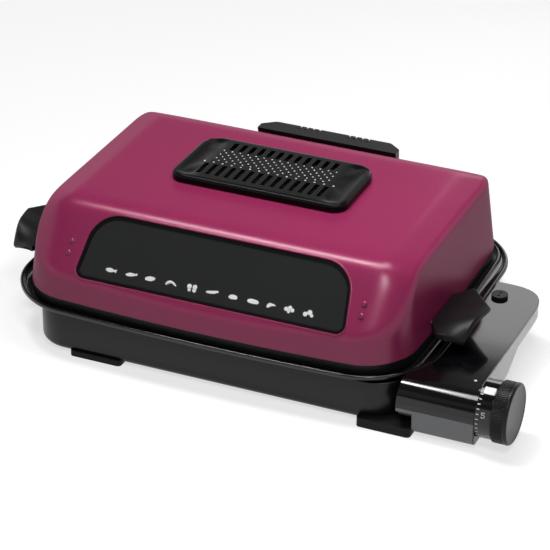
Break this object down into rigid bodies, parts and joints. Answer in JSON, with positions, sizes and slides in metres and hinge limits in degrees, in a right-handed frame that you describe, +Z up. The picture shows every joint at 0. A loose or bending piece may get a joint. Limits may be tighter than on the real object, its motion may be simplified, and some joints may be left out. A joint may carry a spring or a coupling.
{
  "type": "electric fish roaster",
  "caption": "Low two-sided electric fish roaster: drop-in pan and grill, hinged raspberry lid with window, vent and handles, and a side wing with a timer dial.",
  "frame": {"origin": "middle of the whole object's footprint, on the table under its feet", "axes": "+X to the user's right towards the timer dial, +Y to the rear towards the hinge, +Z up"},
  "size_m": [0.551, 0.343, 0.1493],
  "materials": {
    "gloss_black_plastic": "polished black moulding with soft reflections",
    "satin_black_plastic": "fine satin grain",
    "raspberry_paint": "glossy pearl lacquer over pressed steel",
    "silver_plastic": "silver-grey moulding with a soft gloss",
    "grey_plastic": "mid-grey moulding with a soft gloss",
    "pan_coating": "smooth black non-stick coating on cast metal",
    "steel_plate": "rolled sheet, lightly brushed",
    "steel_wire": "plated wire",
    "heater_sheath": "heat-darkened steel sheath",
    "dark_glass": "smoked tempered glass",
    "ceramic_white": "fired steatite",
    "catalyst_ceramic": "porous honeycomb",
    "rubber_black": "moulded rubber pad",
    "screw_steel": "zinc-plated screws",
    "white_print": "small white mark",
    "timer_case": "unpainted moulded case"
  },
  "bodies": {
    "base": {"body_tub": "satin_black_plastic", "bottom_plate": "steel_plate", "bottom_screws": "screw_steel", "foot_front_left": "rubber_black", "foot_front_right": "rubber_black", "foot_rear_left": "rubber_black", "foot_rear_right": "rubber_black", "roasting_pan": "pan_coating", "grill_frame": "steel_wire", "grill_rods": "steel_wire", "grill_legs": "steel_wire", "lower_reflector": "steel_plate", "lower_heater": "heater_sheath", "lower_heater_clips": "steel_plate", "pan_thermostat": "steel_plate", "thermal_fuse": "ceramic_white", "hinge_bracket_left": "satin_black_plastic", "hinge_bracket_right": "satin_black_plastic", "hinge_pin_left": "screw_steel", "hinge_pin_right": "screw_steel", "wing_top": "gloss_black_plastic", "wing_bottom": "grey_plastic", "wing_side_trim": "silver_plastic", "barrel_end_cap": "gloss_black_plastic", "lid_contact_seat": "satin_black_plastic", "dial_index_dot": "white_print", "timer_movement": "timer_case", "terminal_block": "ceramic_white", "cord_gland": "rubber_black", "wing_screws": "screw_steel"},
    "timer_dial": {"timer_shaft": "screw_steel", "dial_ring": "gloss_black_plastic", "dial_grip": "satin_black_plastic"},
    "lid": {"lid_shell": "raspberry_paint", "lid_skirt": "satin_black_plastic", "window_glass": "dark_glass", "window_seal": "rubber_black", "window_rivets": "raspberry_paint", "upper_reflector": "steel_plate", "upper_heater": "heater_sheath", "upper_heater_clips": "steel_plate", "catalyst_frame": "steel_plate", "smoke_catalyst": "catalyst_ceramic", "handle_left": "satin_black_plastic", "handle_right": "satin_black_plastic", "handle_screws": "screw_steel", "rear_cover": "satin_black_plastic", "hinge_arm_left": "steel_plate", "hinge_arm_right": "steel_plate"},
    "vent_cap": {"vent_cover": "satin_black_plastic", "vent_mesh": "steel_plate"}
  },
  "joints": [
    {"name": "lid_hinge", "type": "hinge", "parent": "base", "child": "lid", "pos_m": [-0.0305, 0.166, 0.052], "axis": [-1, 0, 0], "range_deg": [0, 85]},
    {"name": "timer_turn", "type": "hinge", "parent": "base", "child": "timer_dial", "pos_m": [0.2445, -0.1415, 0.033], "axis": [-1, 0, 0], "range_deg": [0, 300]},
    {"name": "vent_lift", "type": "slide", "parent": "lid", "child": "vent_cap", "axis": [0, 0, 1], "range_m": [0, 0.02]}
  ]
}
